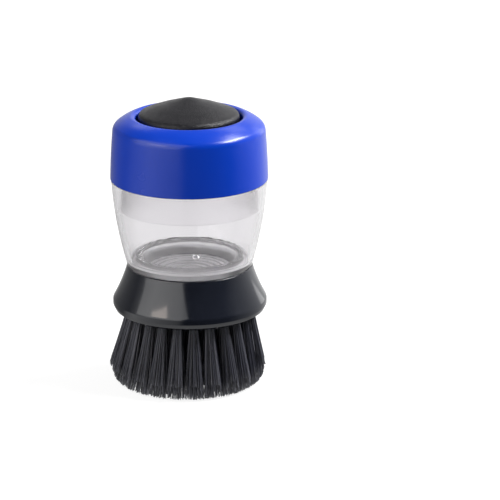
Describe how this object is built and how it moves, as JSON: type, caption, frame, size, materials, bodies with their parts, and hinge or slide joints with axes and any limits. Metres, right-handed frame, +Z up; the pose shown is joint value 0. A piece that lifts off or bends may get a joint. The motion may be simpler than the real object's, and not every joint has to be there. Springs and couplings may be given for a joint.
{
  "type": "soap-dispensing scrubber",
  "caption": "Round palm scrub brush with a clear soap reservoir, a blue screw cap with a black push button, a flared black collar and fanned dark bristles.",
  "frame": {"origin": "on the scrubber's axis, in the plane of the bristle tips that it stands on", "axes": "+Z up along the axis through the push button; the picture looks along +Y"},
  "size_m": [0.064, 0.064, 0.1182],
  "materials": {
    "blue_cap": "gloss",
    "soft_touch_black": "fine grained soft touch",
    "clear_plastic": "clear polished",
    "black_gloss": "gloss",
    "black_satin": "satin",
    "charcoal_nylon": "drawn nylon filament",
    "silicone": "satin",
    "white_plastic": "satin",
    "seal_rubber": "matte",
    "spring_steel": "drawn wire"
  },
  "bodies": {
    "head": {"brush_collar": "black_gloss", "brush_block": "black_satin", "tuft_inner_01": "charcoal_nylon", "tuft_inner_02": "charcoal_nylon", "tuft_inner_03": "charcoal_nylon", "tuft_inner_04": "charcoal_nylon", "tuft_inner_05": "charcoal_nylon", "tuft_inner_06": "charcoal_nylon", "tuft_inner_07": "charcoal_nylon", "tuft_middle_01": "charcoal_nylon", "tuft_middle_02": "charcoal_nylon", "tuft_middle_03": "charcoal_nylon", "tuft_middle_04": "charcoal_nylon", "tuft_middle_05": "charcoal_nylon", "tuft_middle_06": "charcoal_nylon", "tuft_middle_07": "charcoal_nylon", "tuft_middle_08": "charcoal_nylon", "tuft_middle_09": "charcoal_nylon", "tuft_middle_10": "charcoal_nylon", "tuft_middle_11": "charcoal_nylon", "tuft_middle_12": "charcoal_nylon", "tuft_middle_13": "charcoal_nylon", "tuft_outer_01": "charcoal_nylon", "tuft_outer_02": "charcoal_nylon", "tuft_outer_03": "charcoal_nylon", "tuft_outer_04": "charcoal_nylon", "tuft_outer_05": "charcoal_nylon", "tuft_outer_06": "charcoal_nylon", "tuft_outer_07": "charcoal_nylon", "tuft_outer_08": "charcoal_nylon", "tuft_outer_09": "charcoal_nylon", "tuft_outer_10": "charcoal_nylon", "tuft_outer_11": "charcoal_nylon", "tuft_outer_12": "charcoal_nylon", "tuft_outer_13": "charcoal_nylon", "tuft_outer_14": "charcoal_nylon", "tuft_outer_15": "charcoal_nylon", "tuft_outer_16": "charcoal_nylon", "tuft_outer_17": "charcoal_nylon", "tuft_outer_18": "charcoal_nylon", "tuft_outer_19": "charcoal_nylon", "tuft_outer_20": "charcoal_nylon", "tuft_outer_21": "charcoal_nylon", "tuft_outer_22": "charcoal_nylon", "tuft_outer_23": "charcoal_nylon", "tuft_outer_24": "charcoal_nylon"},
    "neck_seal": {"neck_seal": "seal_rubber"},
    "reservoir": {"reservoir": "clear_plastic", "slit_valve": "silicone", "valve_retainer": "white_plastic"},
    "lid_seal": {"lid_gasket": "seal_rubber"},
    "lid": {"cap_shell": "blue_cap", "cap_insert": "clear_plastic", "bellows_ring": "white_plastic", "pump_bellows": "silicone", "return_spring": "spring_steel"},
    "button": {"push_button": "soft_touch_black", "button_core": "white_plastic"}
  },
  "joints": [
    {"name": "head_release", "type": "slide", "parent": "head", "child": "neck_seal", "axis": [0, 0, 1], "range_m": [0, 0.02]},
    {"name": "head_twist", "type": "hinge", "parent": "neck_seal", "child": "reservoir", "pos_m": [0, 0, 0.0492], "axis": [0, 0, 1], "range_deg": [0, 100.5]},
    {"name": "lid_lift", "type": "slide", "parent": "reservoir", "child": "lid_seal", "axis": [0, 0, 1], "range_m": [0, 0.045]},
    {"name": "lid_twist", "type": "hinge", "parent": "lid_seal", "child": "lid", "pos_m": [0, 0, 0.08545], "axis": [0, 0, 1], "range_deg": [0, 902]},
    {"name": "button_press", "type": "slide", "parent": "lid", "child": "button", "axis": [0, 0, -1], "range_m": [0, 0.005], "stiffness_N_per_m": 900, "springref_m": -0.002, "deforming": ["return_spring", "pump_bellows"]}
  ],
  "couplings": [
    {"joint": "head_twist", "follows": "head_release", "rad_per_m": 87.266},
    {"joint": "lid_twist", "follows": "lid_lift", "rad_per_m": 349.07}
  ]
}
